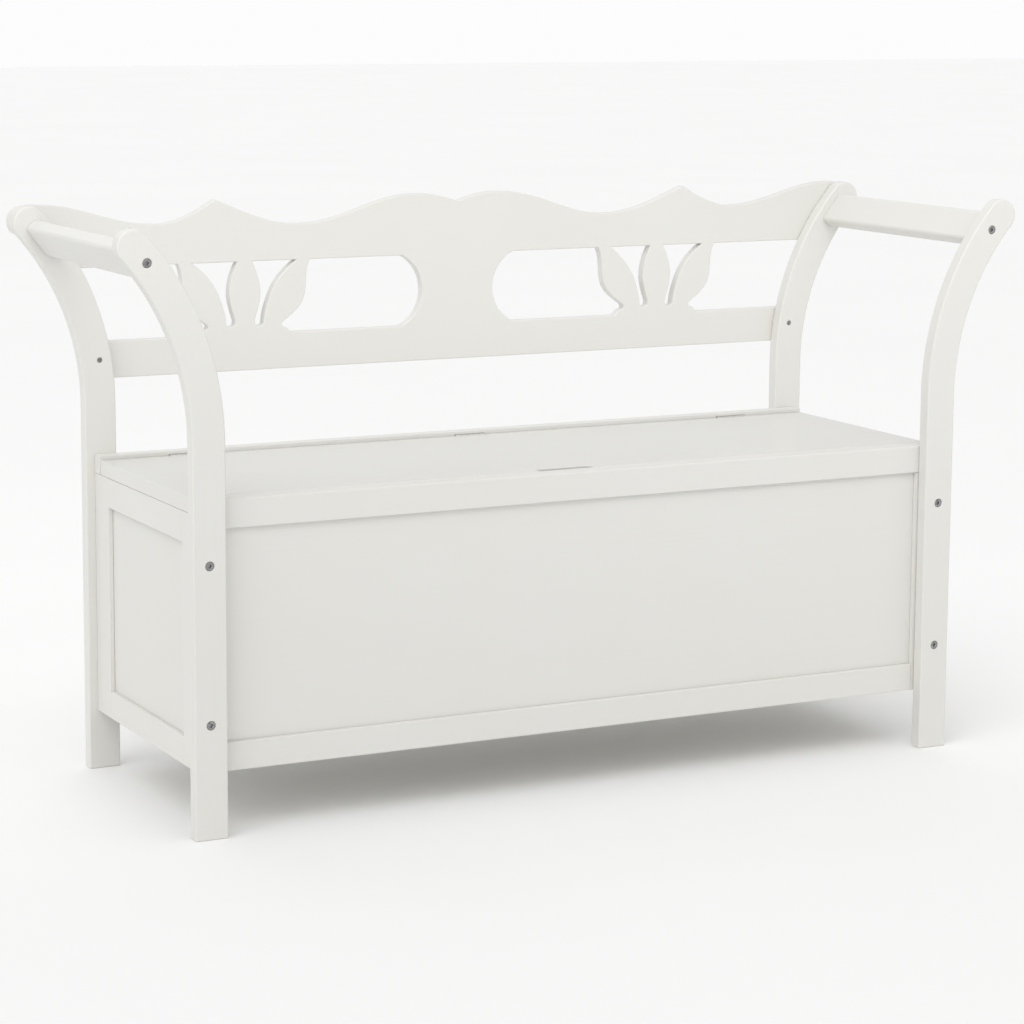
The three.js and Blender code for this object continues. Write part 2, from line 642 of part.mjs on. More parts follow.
const floorHalf = boxInnerHalf - FLOOR_GAP;
const floorFront = boxFront + FRAME_THICKNESS + FLOOR_GAP;
const floorBack = rearFrameFront - FLOOR_GAP;
const cleatTop = BOX_BOTTOM + CLEAT_SIZE;
const cleats = [["front", floorFront], ["rear", floorBack - CLEAT_SIZE]];
for (const [end, y0] of cleats) {
  const cleat = block(-floorHalf, floorHalf, y0, y0 + CLEAT_SIZE, BOX_BOTTOM, cleatTop);
  const anchor = new THREE.Vector3(0, y0 + CLEAT_SIZE / 2, BOX_BOTTOM);
  addPiece(`${end}_floor_cleat`, cleat, innerPaint, anchor);
}
const floorBottom = cleatTop + CONTACT_GAP;
const floorTop = floorBottom + FLOOR_THICKNESS;
const floorBoard = block(-floorHalf, floorHalf, floorFront, floorBack, floorBottom, floorTop);
addPiece("box_floor", floorBoard, innerPaint, new THREE.Vector3(0, 0, floorBottom));

// ---------------------------------------------------------------- hinges

const hinges = [["left", -HINGE_SPACING], ["middle", 0], ["right", HINGE_SPACING]];

// Room in the wood for the hinges: knuckle channel and a shallow bed for each leaf.
function hingeBeds() {
  const half = HINGE_LENGTH / 2 + KNUCKLE_CLEARANCE;
  const leafReach = LEAF_SPACING / 2 + LEAF_THICKNESS + CONTACT_GAP;
  const bedBottom = hingeZ - LEAF_HEIGHT - CONTACT_GAP;
  return hinges.flatMap(([, x]) => [
    rodAlongX(KNUCKLE_RADIUS + KNUCKLE_CLEARANCE, 2 * half, x, hingeY, hingeZ),
    block(x - half, x + half, hingeY - leafReach, hingeY + leafReach, bedBottom, hingeZ),
  ]);
}

// A leaf with every second knuckle from the given one, bored for the pin.
function hingeLeaf(x, towards, firstKnuckle) {
  const step = HINGE_LENGTH / KNUCKLE_COUNT;
  const half = HINGE_LENGTH / 2;
  const y0 = hingeY + towards * (LEAF_SPACING / 2);
  const y1 = y0 + towards * LEAF_THICKNESS;
  const plate = block(x - half, x + half, Math.min(y0, y1), Math.max(y0, y1), hingeZ - LEAF_HEIGHT, hingeZ);
  const barrels = [];
  const notches = [];
  for (let i = 0; i < KNUCKLE_COUNT; i += 1) {
    const middleX = x - half + (i + 0.5) * step;
    if (i % 2 === firstKnuckle) {
      barrels.push(rodAlongX(KNUCKLE_RADIUS, step - KNUCKLE_GAP, middleX, hingeY, hingeZ));
    } else {
      notches.push(rodAlongX(KNUCKLE_RADIUS + KNUCKLE_GAP, step + KNUCKLE_GAP, middleX, hingeY, hingeZ));
    }
  }
  const boreLength = HINGE_LENGTH + 2 * CUT_OVERSHOOT;
  const bore = rodAlongX(PIN_RADIUS + PIN_CLEARANCE, boreLength, x, hingeY, hingeZ);
  return cut(join([cut(plate, notches), ...barrels]), [bore]);
}

for (const [name, x] of hinges) {
  const anchor = new THREE.Vector3(x, hingeY, hingeZ);
  addPiece(`${name}_hinge_lid_leaf`, hingeLeaf(x, -1, 1), hingeSteel, anchor);
  addPiece(`${name}_hinge_batten_leaf`, hingeLeaf(x, 1, 0), hingeSteel, anchor);
  addPiece(`${name}_hinge_pin`, rodAlongX(PIN_RADIUS, HINGE_LENGTH, x, hingeY, hingeZ), hingeSteel, anchor);
}

// ---------------------------------------------------------------- lid and rear batten

function addLid() {
  const notchLeft = FINGER_NOTCH_OFFSET - FINGER_NOTCH_LENGTH / 2;
  const notchRight = FINGER_NOTCH_OFFSET + FINGER_NOTCH_LENGTH / 2;
  const r = FINGER_NOTCH_RADIUS;
  const notchBack = lidFront + FINGER_NOTCH_DEPTH;
  const shape = new THREE.Shape();
  shape.moveTo(-boxHalf, lidFront);
  shape.lineTo(notchLeft, lidFront);
  shape.lineTo(notchLeft, notchBack - r);
  shape.absarc(notchLeft + r, notchBack - r, r, Math.PI, Math.PI / 2, true);
  shape.absarc(notchRight - r, notchBack - r, r, Math.PI / 2, 0, true);
  shape.lineTo(notchRight, lidFront);
  shape.lineTo(boxHalf, lidFront);
  shape.lineTo(boxHalf, lidBack);
  shape.lineTo(-boxHalf, lidBack);
  const lid = cut(alongZ(shape, lidBottom, SEAT_TOP), hingeBeds());
  addPiece("lid", lid, lidPaint, new THREE.Vector3(0, hingeY, hingeZ));
}

addLid();

const battenTop = SEAT_TOP + BATTEN_RISE;
const batten = cut(block(-boxHalf, boxHalf, battenFront, boxBack, lidBottom, battenTop), hingeBeds());
addPiece("rear_batten", batten, whitePaint, new THREE.Vector3(0, boxBack, lidBottom));

export default bench;
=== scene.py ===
"""Looks of a white painted storage bench: eased timber, paint, hardware, floor and light.

Metres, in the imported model's frame: X along the bench, Y from front to back, Z up.
"""

import json
import math

import bmesh
import bpy
from mathutils import Matrix, Vector


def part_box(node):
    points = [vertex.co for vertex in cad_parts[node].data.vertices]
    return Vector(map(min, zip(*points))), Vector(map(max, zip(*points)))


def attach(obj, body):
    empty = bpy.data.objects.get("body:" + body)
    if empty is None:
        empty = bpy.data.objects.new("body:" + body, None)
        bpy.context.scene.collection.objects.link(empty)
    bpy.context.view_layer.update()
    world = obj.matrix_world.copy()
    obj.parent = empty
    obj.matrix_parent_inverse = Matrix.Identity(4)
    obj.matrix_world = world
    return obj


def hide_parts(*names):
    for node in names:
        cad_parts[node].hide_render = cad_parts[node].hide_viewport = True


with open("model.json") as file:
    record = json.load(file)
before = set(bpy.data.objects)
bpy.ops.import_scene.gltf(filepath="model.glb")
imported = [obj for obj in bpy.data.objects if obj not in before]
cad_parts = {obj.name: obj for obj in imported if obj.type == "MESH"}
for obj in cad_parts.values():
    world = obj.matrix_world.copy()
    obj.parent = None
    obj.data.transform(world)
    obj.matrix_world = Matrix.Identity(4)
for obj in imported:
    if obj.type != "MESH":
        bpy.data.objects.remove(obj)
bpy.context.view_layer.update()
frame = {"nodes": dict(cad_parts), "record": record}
nodes = frame["nodes"]
bodies = frame["record"]["behaviour"]["bodies"]
body_of_node = {node: body for body, members in bodies.items() for node in members}
slot_of_node = {part["node"]: part["material_slot"] for part in frame["record"]["subparts"]}

MM = 0.001

# ---------------------------------------------------------------- camera

CAMERA_PLACE = Vector((-1.8547, -3.5762, 1.0436))
CAMERA_YAW = math.radians(26.647)  # to the right of straight at the bench's front
CAMERA_PITCH = math.radians(-8.649)
CAMERA_ROLL = math.radians(0.286)
CAMERA_LENS = 107.06
CAMERA_SHIFT = (0.03, -0.07)
CAMERA_REACH = 200


def add_camera():
    forward = Vector((
        math.sin(CAMERA_YAW) * math.cos(CAMERA_PITCH),
        math.cos(CAMERA_YAW) * math.cos(CAMERA_PITCH),
        math.sin(CAMERA_PITCH),
    ))
    level_right = Vector((math.cos(CAMERA_YAW), -math.sin(CAMERA_YAW), 0))
    level_up = level_right.cross(forward)
    right = level_right * math.cos(CAMERA_ROLL) + level_up * math.sin(CAMERA_ROLL)
    up = level_up * math.cos(CAMERA_ROLL) - level_right * math.sin(CAMERA_ROLL)
    data = bpy.data.cameras.new("camera")
    data.lens = CAMERA_LENS
    data.shift_x, data.shift_y = CAMERA_SHIFT
    data.clip_end = CAMERA_REACH
    camera = bpy.data.objects.new("camera", data)
    turn = Matrix((right, up, -forward)).transposed().to_4x4()
    camera.matrix_world = Matrix.Translation(CAMERA_PLACE) @ turn
    bpy.context.scene.collection.objects.link(camera)
    bpy.context.scene.camera = camera


add_camera()

# ---------------------------------------------------------------- material helpers

MIX_COLOURS = slice(6, 8)  # the two colour inputs of a Mix node
MIX_RESULT = 2  # its colour output


class Nodes:
    """Short calls for one material's node tree."""

    def __init__(self, name):
        self.material = bpy.data.materials.new(name)
        self.material.use_nodes = True
        self.tree = self.material.node_tree
        self.shader = self.tree.nodes["Principled BSDF"]

    def add(self, kind, **settings):
        node = self.tree.nodes.new(kind)
        for key, value in settings.items():
            setattr(node, key, value)
        return node

    def link(self, output, socket):
        self.tree.links.new(output, socket)

    def place(self, sizes):
        """The object's own coordinates, with sizes, in metres along each axis, as their units."""
        coordinates = self.add("ShaderNodeTexCoord")
        mapping = self.add("ShaderNodeMapping")
        mapping.inputs["Scale"].default_value = [1 / size for size in sizes]
        self.link(coordinates.outputs["Object"], mapping.inputs["Vector"])
        return mapping.outputs["Vector"]

    def noise(self, sizes, detail=2.0, roughness=0.5):
        """Noise from 0 to 1, whose features have these sizes in metres along each axis."""
        texture = self.add("ShaderNodeTexNoise")
        texture.inputs["Scale"].default_value = 1.0
        texture.inputs["Detail"].default_value = detail
        texture.inputs["Roughness"].default_value = roughness
        self.link(self.place(sizes), texture.inputs["Vector"])
        return texture.outputs["Fac"]

    def remap(self, value, low, high, to_low, to_high):
        """The value moved from the range low to high into to_low to to_high, and held there."""
        node = self.add("ShaderNodeMapRange")
        self.link(value, node.inputs["Value"])
        for key, number in zip(("From Min", "From Max", "To Min", "To Max"), (low, high, to_low, to_high)):
            node.inputs[key].default_value = number
        return node.outputs["Result"]

    def math(self, operation, first, second):
        """One arithmetic step on two values, each a number or another node's output."""
        node = self.add("ShaderNodeMath", operation=operation)
        for socket, value in zip(node.inputs, (first, second)):
            if isinstance(value, (int, float)):
                socket.default_value = value
            else:
                self.link(value, socket)
        return node.outputs[0]

    def blend(self, factor, first, second):
        """Colour from first to second by factor."""
        node = self.add("ShaderNodeMix", data_type="RGBA")
        self.link(factor, node.inputs["Factor"])
        for socket, value in zip(node.inputs[MIX_COLOURS], (first, second)):
            if isinstance(value, tuple):
                socket.default_value = (*value, 1)
            else:
                self.link(value, socket)
        return node.outputs[MIX_RESULT]

    def bump(self, height, depth, under=None):
        """The surface's direction where height, from 0 to 1, stands out by depth in metres."""
        node = self.add("ShaderNodeBump")
        node.inputs["Distance"].default_value = depth
        node.inputs["Strength"].default_value = 1.0
        self.link(height, node.inputs["Height"])
        if under is not None:
            self.link(under, node.inputs["Normal"])
        return node.outputs["Normal"]


# ---------------------------------------------------------------- paint

AXES = {"X": 0, "Y": 1, "Z": 2}
GRAIN_LENGTH = 160 * MM
GRAIN_WIDTH = 1.6 * MM
BRUSH_LENGTH = 90 * MM
BRUSH_WIDTH = 4 * MM
SPRAY_SIZE = 1.1 * MM
CLOUD_SIZE = 220 * MM
WHITE = (0.745, 0.739, 0.708)
LID_WHITE = (0.73, 0.724, 0.694)
INNER = (0.70, 0.69, 0.65)
CLOUD_TINT = (0.992, 0.988, 0.978)  # what the tints leave of the paint's colour
GRAIN_TINT = (0.96, 0.955, 0.945)
# painted shade: how dark, how far out and how strongly the paint's colour is darkened in creases, corners
# and recesses
CREASE_SHADE_TINT = (0.70, 0.69, 0.67)
CREASE_SHADE_REACH = 1.5 * MM
CREASE_SHADE_STRENGTH = 0.3
ROUGHNESS_SPREAD = 0.07
END_GRAIN_ROUGHNESS = 0.16  # added where the grain ends on a face
GRAIN_DEPTH = 0.03 * MM
BRUSH_DEPTH = 0.016 * MM
SPRAY_DEPTH = 0.01 * MM
PAINT_IOR = 1.5
COAT_ROUGHNESS = 0.12
FINISHES = {  # colour, roughness, relief, coat
    "white_paint": (WHITE, 0.4, 0.5, 0.0),
    "lid_paint": (LID_WHITE, 0.24, 0.1, 0.1),
    "inner_paint": (INNER, 0.5, 1.0, 0.0),
}


def stretched(axis, along, across):
    """Feature sizes with one length along an axis and another across it."""
    sizes = [across] * 3
    sizes[AXES[axis]] = along
    return sizes


def tinted(colour, tint):
    return tuple(c * t for c, t in zip(colour, tint))


def paint(name, axis, colour, roughness, relief, coat):
    """Sprayed and brushed paint over timber whose grain runs along one axis, with painted shade darkening
    its creases and corners.

    relief scales the grain's tint, the brush strokes' gloss, and how far all of it stands out.
    """
    m = Nodes(f"{name}_grain_{axis.lower()}")
    grain = m.noise(stretched(axis, GRAIN_LENGTH, GRAIN_WIDTH), detail=4.0, roughness=0.6)
    brush = m.noise(stretched(axis, BRUSH_LENGTH, BRUSH_WIDTH), detail=3.0)
    spray = m.noise([SPRAY_SIZE] * 3, detail=2.0)
    cloud = m.noise([CLOUD_SIZE] * 3, detail=2.0)

    cloudy = m.remap(cloud, 0.35, 0.65, 0.0, 1.0)
    clouded = m.blend(cloudy, colour, tinted(colour, CLOUD_TINT))
    grainy = m.remap(grain, 0.56, 0.74, 0.0, relief)
    grained = m.blend(grainy, clouded, tinted(colour, GRAIN_TINT))
    # painted shade: ambient occlusion darkens the base colour where other surfaces are near, in creases,
    # corners and recesses
    openness = m.add("ShaderNodeAmbientOcclusion", samples=6)
    openness.inputs["Distance"].default_value = CREASE_SHADE_REACH
    painted_crease_shade = m.remap(openness.outputs["AO"], 0.15, 0.7, CREASE_SHADE_STRENGTH, 0.0)
    shaded = m.blend(painted_crease_shade, grained, tinted(colour, CREASE_SHADE_TINT))
    m.link(shaded, m.shader.inputs["Base Color"])

    normal = m.add("ShaderNodeTexCoord").outputs["Normal"]
    split = m.add("ShaderNodeSeparateXYZ")
    m.link(normal, split.inputs["Vector"])
    facing = m.math("ABSOLUTE", split.outputs[AXES[axis]], 0.0)
    end_grain = m.remap(facing, 0.8, 0.97, 0.0, END_GRAIN_ROUGHNESS)
    spread = ROUGHNESS_SPREAD * relief
    streaks = m.remap(brush, 0.3, 0.7, roughness - spread, roughness + spread)
    m.link(m.math("ADD", streaks, end_grain), m.shader.inputs["Roughness"])

    pores = m.bump(m.remap(grain, 0.5, 0.78, 1.0, 0.0), GRAIN_DEPTH * relief)
    strokes = m.bump(brush, BRUSH_DEPTH * relief, under=pores)
    m.link(m.bump(spray, SPRAY_DEPTH * relief, under=strokes), m.shader.inputs["Normal"])
    m.shader.inputs["IOR"].default_value = PAINT_IOR
    m.shader.inputs["Coat Weight"].default_value = coat
    m.shader.inputs["Coat Roughness"].default_value = COAT_ROUGHNESS
    return m.material


paints = {}
for slot, finish in FINISHES.items():
    for axis in AXES:
        paints[slot, axis] = paint(slot, axis, *finish)


# ---------------------------------------------------------------- steel

TARNISH_SIZE = 3 * MM
MARK_SIZE = 0.35 * MM
MARK_DEPTH = 0.01 * MM


def steel(name, colour, dark, roughness):
    """Plated steel with tool marks and a little tarnish."""
    m = Nodes(name)
    tarnish = m.noise([TARNISH_SIZE] * 3, detail=4.0)
    marks = m.noise([MARK_SIZE] * 3, detail=2.0)
    dull = m.remap(tarnish, 0.35, 0.7, 0.0, 1.0)
    m.link(m.blend(dull, colour, dark), m.shader.inputs["Base Color"])
    rough = m.remap(tarnish, 0.3, 0.7, roughness - 0.08, roughness + 0.1)
    m.link(rough, m.shader.inputs["Roughness"])
    m.link(m.bump(marks, MARK_DEPTH), m.shader.inputs["Normal"])
    m.shader.inputs["Metallic"].default_value = 1.0
    return m.material


bolt_steel = steel("bolt_steel", (0.40, 0.40, 0.40), (0.24, 0.24, 0.24), 0.34)
hinge_steel = steel("hinge_steel", (0.72, 0.71, 0.68), (0.60, 0.59, 0.56), 0.38)

# ---------------------------------------------------------------- eased timber

BOLT_HOLE_RADIUS = 5.8 * MM
SCREW_HOLE_RADIUS = 3.5 * MM
HOLE_REACH = 9 * MM  # edges this close to a fastener's axis belong to its hole
HOLE_EDGE = 1.5 * MM  # rounding of a bolt hole's mouth
RIM_TOLERANCE = 0.3 * MM  # a rim's edge may lie this far from the hole's radius
WELD = 0.002 * MM  # points closer than this are one point
SAME = 0.05 * MM  # places closer than this are one place
FLAT = math.radians(0.4)  # faces that turn less than this lie in one plane
SHARP = math.radians(30)  # edges that turn more than this are rounded
LENGTHWISE = 0.9  # least cosine between an edge and the length that it runs along
ROUNDING_STEPS = 3
HINGE_REACH = 4 * MM  # edges this close to the hinge line face the other leaf

fastener_axes = []
for node in nodes:
    if node.endswith(("_bolt", "_screw", "_lower", "_upper")):
        low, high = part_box(node)
        fastener_axes.append((low + high) / 2)


def hole_edge_width(middle, low, high):
    """Easing of an edge that belongs to a fastener's hole, or None away from the holes."""
    for axis in fastener_axes:
        distance = math.hypot(middle.x - axis.x, middle.z - axis.z)
        if distance > HOLE_REACH:
            continue
        on_face = min(abs(middle.y - low.y), abs(middle.y - high.y)) < SAME
        for radius in (BOLT_HOLE_RADIUS, SCREW_HOLE_RADIUS):
            if on_face and abs(distance - radius) < RIM_TOLERANCE:
                return HOLE_EDGE * radius / BOLT_HOLE_RADIUS
        return 0.0
    return None


def new_piece(name, mesh, material, node):
    """Links a mesh as a piece that stands for a CAD node and moves with its body."""
    mesh.materials.clear()
    mesh.materials.append(material)
    piece = bpy.data.objects.new(name, mesh)
    bpy.context.scene.collection.objects.link(piece)
    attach(piece, body_of_node[node])
    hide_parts(node)
    return piece


def weighted_edges(node, rule, widest):
    """The CAD node's mesh with the radius of every sharp edge written as its bevel weight."""
    low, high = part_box(node)
    bm = bmesh.new()
    bm.from_mesh(nodes[node].data)
    bmesh.ops.remove_doubles(bm, verts=bm.verts, dist=WELD)
    bmesh.ops.dissolve_limit(bm, angle_limit=FLAT, verts=bm.verts, edges=bm.edges)
    weight = bm.edges.layers.float.new("bevel_weight_edge")
    for edge in bm.edges:
        if len(edge.link_faces) != 2 or edge.calc_face_angle(0) < SHARP:
            continue
        middle = (edge.verts[0].co + edge.verts[1].co) / 2
        width = hole_edge_width(middle, low, high)
        if width is None:
            width = rule(middle, low, high, edge)
        edge[weight] = min(1.0, width / widest)
    mesh = bpy.data.meshes.new(node + "_weighted")
    bm.to_mesh(mesh)
    bm.free()
    return mesh


def bevelled(mesh, widest, clamp):
    """A copy of the mesh with its weighted edges rounded; the new faces have material index 1."""
    draft = bpy.data.objects.new("draft", mesh)
    mesh.materials.append(None)
    mesh.materials.append(None)
    bpy.context.scene.collection.objects.link(draft)
    rounding = draft.modifiers.new("rounding", "BEVEL")
    rounding.limit_method = "WEIGHT"
    rounding.width = widest
    rounding.segments = ROUNDING_STEPS
    rounding.loop_slide = False
    rounding.use_clamp_overlap = clamp
    rounding.material = 1
    depsgraph = bpy.context.evaluated_depsgraph_get()
    result = bpy.data.meshes.new_from_object(draft.evaluated_get(depsgraph), depsgraph=depsgraph)
    bpy.data.objects.remove(draft)
    bpy.data.meshes.remove(mesh)
    return result


def flat_groups(bm):
    """Lists of flat faces that lie in one plane and touch each other."""
    seen = set()
    for first in bm.faces:
        if first.material_index or first in seen:
            continue
        group, waiting = [], [first]
        seen.add(first)
        while waiting:
            face = waiting.pop()
            group.append(face)
            for edge in face.edges:
                for other in edge.link_faces:
                    if other.material_index or other in seen:
                        continue
                    if other.normal.angle(first.normal, 0) < FLAT:
                        seen.add(other)
                        waiting.append(other)
        yield group


def refill_flats(bm):
    """Fills each flat side anew from its outline and holes, so that no face crosses a hole's rim."""
    for group in list(flat_groups(bm)):
        if len(group) < 2:
            continue
        inside = set(group)
        normal = max(group, key=lambda face: face.calc_area()).normal.copy()
        edges = {edge for face in group for edge in face.edges}
        outline = [e for e in edges if sum(face in inside for face in e.link_faces) == 1]
        spare = [e for e in edges if e not in set(outline)]
        bmesh.ops.delete(bm, geom=group, context="FACES_ONLY")
        bmesh.ops.delete(bm, geom=spare, context="EDGES")
        made = bmesh.ops.triangle_fill(bm, edges=outline, use_beauty=True, normal=normal)
        for item in made["geom"]:
            if isinstance(item, bmesh.types.BMFace):
                item.normal_update()
                if item.normal.dot(normal) < 0:
                    item.normal_flip()


def corner_normal(face, vertex):
    """Flat faces keep their own direction, and roundings take theirs where they meet a flat face."""
    flats, others = Vector(), Vector()
    for near in vertex.link_faces:
        angle = near.normal.angle(face.normal, 0)
        if near.material_index == 0 and angle < SHARP:
            flats += near.normal * near.calc_area()
        elif near.material_index and angle < 2 * SHARP:
            others += near.normal * near.calc_area()
    return (flats if flats.length else others).normalized()


def eased(node, rule, widest, material, small=False):
    """The CAD node's shape with its edges rounded, as a new piece that stands for the node.

    rule(middle, low, high, edge) gives the radius of one sharp edge. small is for shapes whose
    curved sides run into their flat ones: the roundings are held short of each other, and the
    flat sides stay as the rounding leaves them.
    """
    mesh = bevelled(weighted_edges(node, rule, widest), widest, clamp=small)
    bm = bmesh.new()
    bm.from_mesh(mesh)
    if not small:
        refill_flats(bm)
    normals = [corner_normal(face, loop.vert) for face in bm.faces for loop in face.loops]
    for face in bm.faces:
        face.smooth = True
        face.material_index = 0
    for edge in bm.edges:
        edge.smooth = True
    bm.to_mesh(mesh)
    bm.free()
    mesh.normals_split_custom_set(normals)
    mesh.name = node + "_eased"
    return new_piece(node + "_eased", mesh, material, node)


def everywhere(width):
    """The same radius on every edge."""
    return lambda middle, low, high, edge: width


def top_and_rest(top, rest):
    """One radius along the upper edges and another on all the others."""
    return lambda middle, low, high, edge: top if abs(middle.z - high.z) < SAME else rest


def frame_member(outside, joints):
    """A framed member: small radius where it meets its neighbours, larger underneath."""
    return lambda middle, low, high, edge: outside if abs(middle.z - low.z) < SAME else joints


def framed_rail(along, across, outside, joints):
    """A framed rail: the larger radius on its outer long edges, the small one at ends and groove."""
    def rule(middle, low, high, edge):
        direction = (edge.verts[1].co - edge.verts[0].co).normalized()
        lengthwise = abs(direction[AXES[along]]) > LENGTHWISE
        place = middle[AXES[across]]
        depth = min(place - low[AXES[across]], high[AXES[across]] - place)
        return outside if lengthwise and depth < SAME else joints
    return rule


def near_hinges(top, hinge_side, rest, line):
    """One radius on the upper edges, a small one on the hinge line's side, and one elsewhere."""
    def rule(middle, low, high, edge):
        if abs(middle.y - line) < HINGE_REACH:
            return hinge_side
        return top if abs(middle.z - high.z) < SAME else rest
    return rule


def foot_and_rest(foot, rest):
    """One radius on the lowest edges and another on all the others."""
    return lambda middle, low, high, edge: foot if abs(middle.z - low.z) < SAME else rest


# What each timber node is: how its edges are eased, the widest radius, and its grain.
HINGE_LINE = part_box("middle_hinge_pin")[0].y
POST = (foot_and_rest(1.0 * MM, 2.4 * MM), 2.4 * MM, "Z")
ARM = (everywhere(0.4 * MM), 0.4 * MM, "Y")
PANEL = (everywhere(1.4 * MM), 1.5 * MM, "X")
LID = (near_hinges(1.6 * MM, 0.2 * MM, 0.8 * MM, HINGE_LINE), 1.6 * MM, "X")
BATTEN = (near_hinges(1.4 * MM, 0.2 * MM, 0.4 * MM, HINGE_LINE), 1.5 * MM, "X")
FRONT_RAIL = (top_and_rest(2.0 * MM, 1.0 * MM), 2.0 * MM, "X")
STILE = (frame_member(1.2 * MM, 0.25 * MM), 1.5 * MM, "Z")
LONG_RAIL = (framed_rail("X", "Y", 1.6 * MM, 0.2 * MM), 1.6 * MM, "X")
SIDE_RAIL = (framed_rail("Y", "X", 1.2 * MM, 0.2 * MM), 1.2 * MM, "Y")
FIELD = (everywhere(0.2 * MM), 0.2 * MM, "X")
PLAIN = (everywhere(0.4 * MM), 0.4 * MM, "X")

TIMBER = {"carved_back_panel": PANEL, "lid": LID, "rear_batten": BATTEN, "box_floor": PLAIN}
for end in ("front", "rear"):
    TIMBER[f"{end}_floor_cleat"] = PLAIN
    TIMBER[f"{end}_panel"] = FIELD
    TIMBER[f"{end}_bottom_rail"] = LONG_RAIL
    for hand in ("left", "right"):
        TIMBER[f"{end}_{hand}_post"] = POST
        TIMBER[f"{end}_{hand}_stile"] = STILE
TIMBER["front_top_rail"] = FRONT_RAIL
TIMBER["rear_top_rail"] = LONG_RAIL
for hand in ("left", "right"):
    TIMBER[f"{hand}_arm_rail"] = ARM
    TIMBER[f"{hand}_side_panel"] = FIELD
    TIMBER[f"{hand}_side_front_stile"] = STILE
    TIMBER[f"{hand}_side_rear_stile"] = STILE
    TIMBER[f"{hand}_side_top_rail"] = SIDE_RAIL
    TIMBER[f"{hand}_side_bottom_rail"] = SIDE_RAIL

for node, (rule, widest, grain) in TIMBER.items():
    eased(node, rule, widest, paints[slot_of_node[node], grain])

# ---------------------------------------------------------------- hinges

HINGE_EDGE = 0.15 * MM

for node in nodes:
    if "_hinge_" in node:
        eased(node, everywhere(HINGE_EDGE), HINGE_EDGE, hinge_steel, small=True)

# ---------------------------------------------------------------- bolts and screws

RING = 48  # points round a fastener
BOLT = {  # radii of the head, shank and socket, and the head's and the socket's lengths
    "head": 5.5 * MM, "head_length": 5 * MM, "shank": 3 * MM, "socket": 2.6 * MM, "depth": 3 * MM,
}
SCREW = {
    "head": 3.2 * MM, "head_length": 3 * MM, "shank": 1.8 * MM, "socket": 1.5 * MM, "depth": 1.8 * MM,
}
RIM = 0.9 * MM  # rounding of the head's outer edge
RIM_STEPS = 4
SOCKET_CHAMFER = 0.35 * MM
THREAD_PITCH = 1.25 * MM
THREAD_DEPTH = 0.35 * MM
CREASED = math.radians(40)  # edges that turn more than this are shaded sharp


def hexagon(radius, angle):
    """Distance from the centre to a hexagon with its corners at radius."""
    sector = math.radians(60)
    return radius * math.cos(sector / 2) / math.cos(angle % sector - sector / 2)


def fastener_rings(kind, length):
    """(depth, radius, is a hexagon) rings from the socket's floor, over the head, to the tip."""
    rings = [(kind["depth"], kind["socket"], True)]
    rings.append((SOCKET_CHAMFER, kind["socket"], True))
    rings.append((0.0, kind["socket"] + SOCKET_CHAMFER, True))
    rings.append((0.0, kind["socket"] + 2 * SOCKET_CHAMFER, False))
    for i in range(RIM_STEPS + 1):
        angle = math.radians(90) * i / RIM_STEPS
        rings.append((RIM * (1 - math.cos(angle)), kind["head"] - RIM * (1 - math.sin(angle)), False))
    rings.append((kind["head_length"], kind["head"], False))
    rings.append((kind["head_length"], kind["shank"], False))
    depth = kind["head_length"] + THREAD_PITCH
    while depth < length - 2 * THREAD_PITCH:
        rings.append((depth, kind["shank"], False))
        rings.append((depth + THREAD_PITCH / 2, kind["shank"] - THREAD_DEPTH, False))
        depth += THREAD_PITCH
    rings.append((length - THREAD_PITCH, kind["shank"], False))
    rings.append((length, kind["shank"] - 2 * THREAD_DEPTH, False))
    return rings


def fastener(node, kind, way):
    """A hex-socket bolt or screw whose head faces against way, in the CAD node's place."""
    low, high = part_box(node)
    centre = (low + high) / 2
    mouth = low.y if way > 0 else high.y
    bm = bmesh.new()
    loops = []
    for depth, radius, is_hexagon in fastener_rings(kind, high.y - low.y):
        loop = []
        for i in range(RING):
            angle = 2 * math.pi * i / RING
            r = hexagon(radius, angle) if is_hexagon else radius
            x, z = centre.x + r * math.cos(angle), centre.z + r * math.sin(angle)
            loop.append(bm.verts.new((x, mouth + way * depth, z)))
        loops.append(loop)
    for first, second in zip(loops, loops[1:]):
        for i in range(RING):
            j = (i + 1) % RING
            bm.faces.new((first[i], first[j], second[j], second[i]))
    bm.faces.new(loops[0])
    bm.faces.new(loops[-1])
    bmesh.ops.recalc_face_normals(bm, faces=bm.faces)
    for face in bm.faces:
        face.smooth = True
    mesh = bpy.data.meshes.new(node + "_turned")
    bm.to_mesh(mesh)
    bm.free()
    mesh.set_sharp_from_angle(angle=CREASED)
    new_piece(node + "_turned", mesh, bolt_steel, node)


for node in nodes:
    if node.endswith("_panel_screw"):
        fastener(node, SCREW, 1)
    elif "_bolt" in node:
        fastener(node, BOLT, 1 if node.startswith("front_") else -1)

# ---------------------------------------------------------------- floor

FLOOR_SIZE = 60
FLOOR_DROP = 0.2 * MM  # clear of the feet's undersides
FLOOR_COLOURS = ((0.97, 0.97, 0.967), (0.955, 0.955, 0.952))
FLOOR_GLOSS = 0.2
DUST_SIZE = 900 * MM


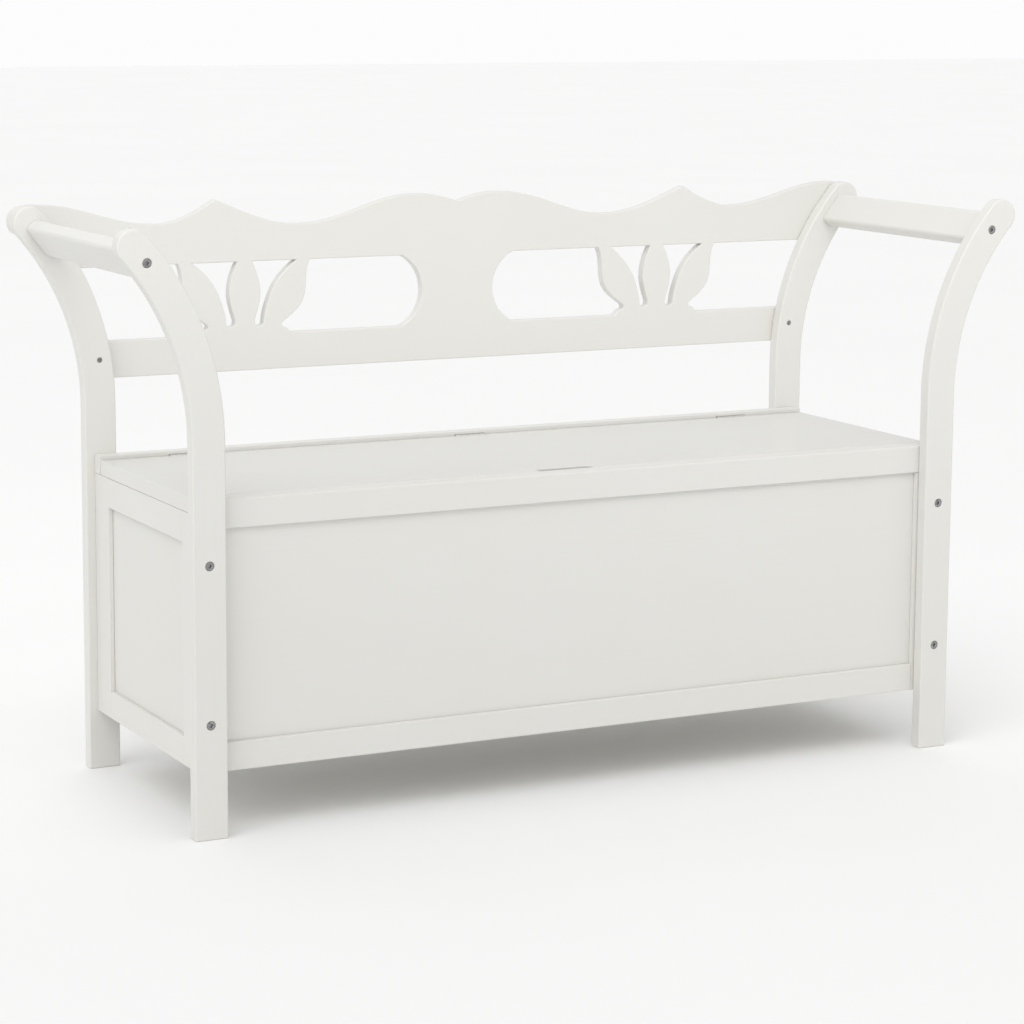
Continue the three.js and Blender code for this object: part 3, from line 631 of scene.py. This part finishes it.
def add_floor():
    m = Nodes("pale_floor")
    dust = m.noise([DUST_SIZE] * 3, detail=3.0)
    dusty = m.remap(dust, 0.3, 0.7, 0.0, 1.0)
    m.link(m.blend(dusty, *FLOOR_COLOURS), m.shader.inputs["Base Color"])
    m.link(m.remap(dust, 0.3, 0.7, 0.75, 0.85), m.shader.inputs["Roughness"])
    m.shader.inputs["Specular IOR Level"].default_value = FLOOR_GLOSS
    half = FLOOR_SIZE / 2
    corners = [(-half, -half), (half, -half), (half, half), (-half, half)]
    mesh = bpy.data.meshes.new("floor")
    mesh.from_pydata([(x, y, -FLOOR_DROP) for x, y in corners], [], [(0, 1, 2, 3)])
    mesh.materials.append(m.material)
    floor = bpy.data.objects.new("floor", mesh)
    bpy.context.scene.collection.objects.link(floor)


add_floor()

# ---------------------------------------------------------------- light

SKY_HIGH = (0.66, 0.66, 0.66)
SKY_HORIZON = (0.98, 0.98, 0.98)
HORIZON_TOP = math.sin(math.radians(2.5))  # the horizon's band is even below this height
SKY_FROM = math.sin(math.radians(7.5))  # and the sky is even above this one
SUN_DISTANCE = 4
SUNS = [  # direction from the object to the light, strength, apparent size in degrees
    ((-0.58, -0.42, 0.70), 0.98, 50),
    ((0.60, -0.50, 0.62), 0.20, 60),
    ((0.10, 0.75, 0.65), 0.30, 60),
]
SOFTBOX_PLACE = Vector((-0.2, -0.9, 1.4))
SOFTBOX_SIZE = (2.2, 0.5)
SOFTBOX_SPREAD = math.radians(65)
SOFTBOX_WATTS = 1.25
SOFTBOX_TARGET = Vector((0, 0.2, 0.62))


def aim(lamp, place, target):
    """Puts a lamp in its place, facing the target."""
    lamp.location = place
    lamp.rotation_euler = (Vector(place) - Vector(target)).to_track_quat("Z", "Y").to_euler()
    bpy.context.scene.collection.objects.link(lamp)


def add_sky():
    """An even sky with a brighter band along the horizon, like a studio's cove."""
    world = bpy.data.worlds.new("studio")
    world.use_nodes = True
    tree = world.node_tree
    direction = tree.nodes.new("ShaderNodeTexCoord")
    split = tree.nodes.new("ShaderNodeSeparateXYZ")
    height = tree.nodes.new("ShaderNodeMapRange")
    height.interpolation_type = "SMOOTHSTEP"
    height.inputs["From Min"].default_value = HORIZON_TOP
    height.inputs["From Max"].default_value = SKY_FROM
    colour = tree.nodes.new("ShaderNodeMix")
    colour.data_type = "RGBA"
    for socket, shade in zip(colour.inputs[MIX_COLOURS], (SKY_HORIZON, SKY_HIGH)):
        socket.default_value = (*shade, 1)
    tree.links.new(direction.outputs["Generated"], split.inputs["Vector"])
    tree.links.new(split.outputs["Z"], height.inputs["Value"])
    tree.links.new(height.outputs["Result"], colour.inputs["Factor"])
    tree.links.new(colour.outputs[MIX_RESULT], tree.nodes["Background"].inputs["Color"])
    bpy.context.scene.world = world


def add_lamps():
    for i, (direction, strength, apparent) in enumerate(SUNS):
        data = bpy.data.lights.new(f"sun_{i}", "SUN")
        data.energy = strength
        data.angle = math.radians(apparent)
        aim(bpy.data.objects.new(f"sun_{i}", data), Vector(direction) * SUN_DISTANCE, (0, 0, 0))
    data = bpy.data.lights.new("softbox", "AREA")
    data.shape = "RECTANGLE"
    data.size, data.size_y = SOFTBOX_SIZE
    data.spread = SOFTBOX_SPREAD
    data.energy = SOFTBOX_WATTS
    softbox = bpy.data.objects.new("softbox", data)
    softbox.visible_camera = False
    aim(softbox, SOFTBOX_PLACE, SOFTBOX_TARGET)


add_sky()
add_lamps()
bpy.context.scene.view_settings.view_transform = "Standard"
